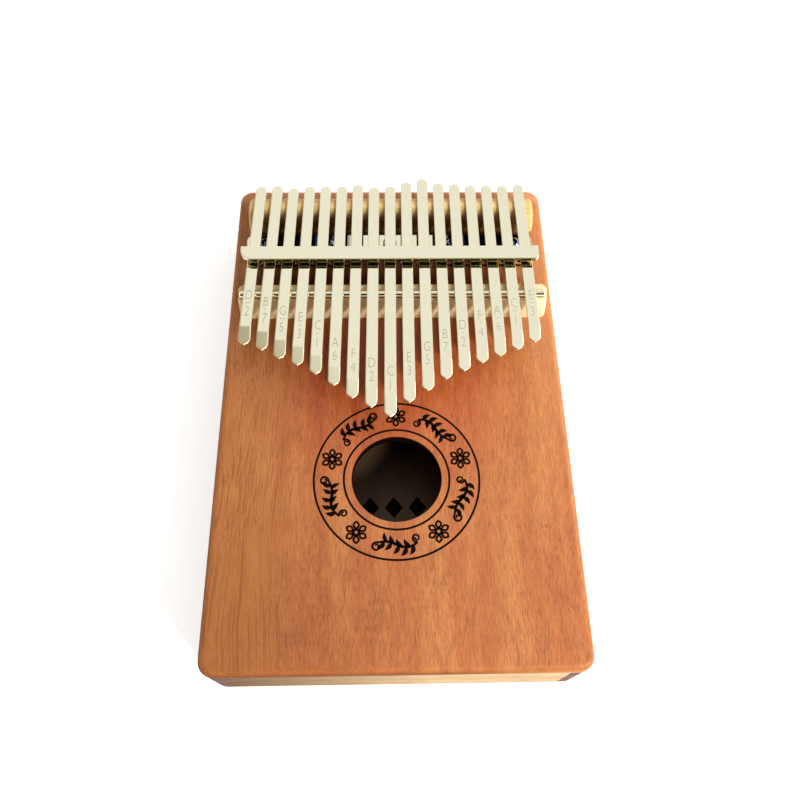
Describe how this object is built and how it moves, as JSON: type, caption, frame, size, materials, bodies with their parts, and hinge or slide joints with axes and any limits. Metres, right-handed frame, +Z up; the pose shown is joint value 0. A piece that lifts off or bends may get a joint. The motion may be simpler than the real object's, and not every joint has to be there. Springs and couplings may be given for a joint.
{
  "type": "thumb piano",
  "caption": "Mbira: a wooden sound box with a round sound hole and a row of flat steel tines, held by a steel clamp over two wooden bridges and plucked with the thumbs.",
  "frame": {"origin": "middle of the box's underside, under the middle of its plan outline", "axes": "+X across the box to the player's right, +Y along the tines to their clamped rear ends, +Z up out of the sound board"},
  "size_m": [0.133, 0.2056, 0.0454],
  "materials": {
    "mahogany": "satin, open pores",
    "dark_rail": "satin",
    "pale_wood": "satin",
    "bridge_wood": "satin",
    "rod_steel": "polished",
    "plated_steel": "nickel plate",
    "screw_steel": "polished",
    "tine_steel": "nickel plate, satin"
  },
  "bodies": {
    "box": {"back_plate": "mahogany", "top_plate": "mahogany", "side_rail_left": "dark_rail", "side_rail_right": "dark_rail", "end_rail_front": "pale_wood", "end_rail_rear": "pale_wood", "clamp_brace": "pale_wood", "front_bridge": "bridge_wood", "rear_bridge": "bridge_wood", "bridge_rod": "rod_steel", "tine_clamp": "plated_steel", "clamp_screw_1": "screw_steel", "clamp_screw_2": "screw_steel", "clamp_screw_3": "screw_steel", "clamp_screw_4": "screw_steel", "clamp_screw_5": "screw_steel", "tine_01_tail": "tine_steel", "tine_02_tail": "tine_steel", "tine_03_tail": "tine_steel", "tine_04_tail": "tine_steel", "tine_05_tail": "tine_steel", "tine_06_tail": "tine_steel", "tine_07_tail": "tine_steel", "tine_08_tail": "tine_steel", "tine_09_tail": "tine_steel", "tine_10_tail": "tine_steel", "tine_11_tail": "tine_steel", "tine_12_tail": "tine_steel", "tine_13_tail": "tine_steel", "tine_14_tail": "tine_steel", "tine_15_tail": "tine_steel", "tine_16_tail": "tine_steel", "tine_17_tail": "tine_steel"},
    "tine_01_free": {"tine_01": "tine_steel"},
    "tine_02_free": {"tine_02": "tine_steel"},
    "tine_03_free": {"tine_03": "tine_steel"},
    "tine_04_free": {"tine_04": "tine_steel"},
    "tine_05_free": {"tine_05": "tine_steel"},
    "tine_06_free": {"tine_06": "tine_steel"},
    "tine_07_free": {"tine_07": "tine_steel"},
    "tine_08_free": {"tine_08": "tine_steel"},
    "tine_09_free": {"tine_09": "tine_steel"},
    "tine_10_free": {"tine_10": "tine_steel"},
    "tine_11_free": {"tine_11": "tine_steel"},
    "tine_12_free": {"tine_12": "tine_steel"},
    "tine_13_free": {"tine_13": "tine_steel"},
    "tine_14_free": {"tine_14": "tine_steel"},
    "tine_15_free": {"tine_15": "tine_steel"},
    "tine_16_free": {"tine_16": "tine_steel"},
    "tine_17_free": {"tine_17": "tine_steel"}
  },
  "joints": [
    {"name": "tine_01_pluck", "type": "hinge", "parent": "box", "child": "tine_01_free", "pos_m": [-0.05693, 0.04051, 0.04225], "axis": [1, 0, 0], "range_deg": [-3, 3], "stiffness_Nm_per_rad": 5.55},
    {"name": "tine_02_pluck", "type": "hinge", "parent": "box", "child": "tine_02_free", "pos_m": [-0.04991, 0.04051, 0.04225], "axis": [1, 0, 0], "range_deg": [-3, 3], "stiffness_Nm_per_rad": 5.24},
    {"name": "tine_03_pluck", "type": "hinge", "parent": "box", "child": "tine_03_free", "pos_m": [-0.04289, 0.04051, 0.04225], "axis": [1, 0, 0], "range_deg": [-3, 3], "stiffness_Nm_per_rad": 4.81},
    {"name": "tine_04_pluck", "type": "hinge", "parent": "box", "child": "tine_04_free", "pos_m": [-0.03587, 0.04051, 0.04225], "axis": [1, 0, 0], "range_deg": [-3, 3], "stiffness_Nm_per_rad": 4.53},
    {"name": "tine_05_pluck", "type": "hinge", "parent": "box", "child": "tine_05_free", "pos_m": [-0.02885, 0.04051, 0.04225], "axis": [1, 0, 0], "range_deg": [-3, 3], "stiffness_Nm_per_rad": 4.21},
    {"name": "tine_06_pluck", "type": "hinge", "parent": "box", "child": "tine_06_free", "pos_m": [-0.02183, 0.04051, 0.04225], "axis": [1, 0, 0], "range_deg": [-3, 3], "stiffness_Nm_per_rad": 3.86},
    {"name": "tine_07_pluck", "type": "hinge", "parent": "box", "child": "tine_07_free", "pos_m": [-0.01481, 0.04051, 0.04225], "axis": [1, 0, 0], "range_deg": [-3, 3], "stiffness_Nm_per_rad": 3.55},
    {"name": "tine_08_pluck", "type": "hinge", "parent": "box", "child": "tine_08_free", "pos_m": [-0.00779, 0.04051, 0.04225], "axis": [1, 0, 0], "range_deg": [-3, 3], "stiffness_Nm_per_rad": 3.34},
    {"name": "tine_09_pluck", "type": "hinge", "parent": "box", "child": "tine_09_free", "pos_m": [-0.00077, 0.04051, 0.04225], "axis": [1, 0, 0], "range_deg": [-3, 3], "stiffness_Nm_per_rad": 3.16},
    {"name": "tine_10_pluck", "type": "hinge", "parent": "box", "child": "tine_10_free", "pos_m": [0.00625, 0.04051, 0.04225], "axis": [1, 0, 0], "range_deg": [-3, 3], "stiffness_Nm_per_rad": 3.44},
    {"name": "tine_11_pluck", "type": "hinge", "parent": "box", "child": "tine_11_free", "pos_m": [0.01327, 0.04051, 0.04225], "axis": [1, 0, 0], "range_deg": [-3, 3], "stiffness_Nm_per_rad": 3.71},
    {"name": "tine_12_pluck", "type": "hinge", "parent": "box", "child": "tine_12_free", "pos_m": [0.02029, 0.04051, 0.04225], "axis": [1, 0, 0], "range_deg": [-3, 3], "stiffness_Nm_per_rad": 4.03},
    {"name": "tine_13_pluck", "type": "hinge", "parent": "box", "child": "tine_13_free", "pos_m": [0.02731, 0.04051, 0.04225], "axis": [1, 0, 0], "range_deg": [-3, 3], "stiffness_Nm_per_rad": 4.29},
    {"name": "tine_14_pluck", "type": "hinge", "parent": "box", "child": "tine_14_free", "pos_m": [0.03433, 0.04051, 0.04225], "axis": [1, 0, 0], "range_deg": [-3, 3], "stiffness_Nm_per_rad": 4.58},
    {"name": "tine_15_pluck", "type": "hinge", "parent": "box", "child": "tine_15_free", "pos_m": [0.04135, 0.04051, 0.04225], "axis": [1, 0, 0], "range_deg": [-3, 3], "stiffness_Nm_per_rad": 4.86},
    {"name": "tine_16_pluck", "type": "hinge", "parent": "box", "child": "tine_16_free", "pos_m": [0.04837, 0.04051, 0.04225], "axis": [1, 0, 0], "range_deg": [-3, 3], "stiffness_Nm_per_rad": 5.18},
    {"name": "tine_17_pluck", "type": "hinge", "parent": "box", "child": "tine_17_free", "pos_m": [0.05539, 0.04051, 0.04225], "axis": [1, 0, 0], "range_deg": [-3, 3], "stiffness_Nm_per_rad": 5.61}
  ]
}
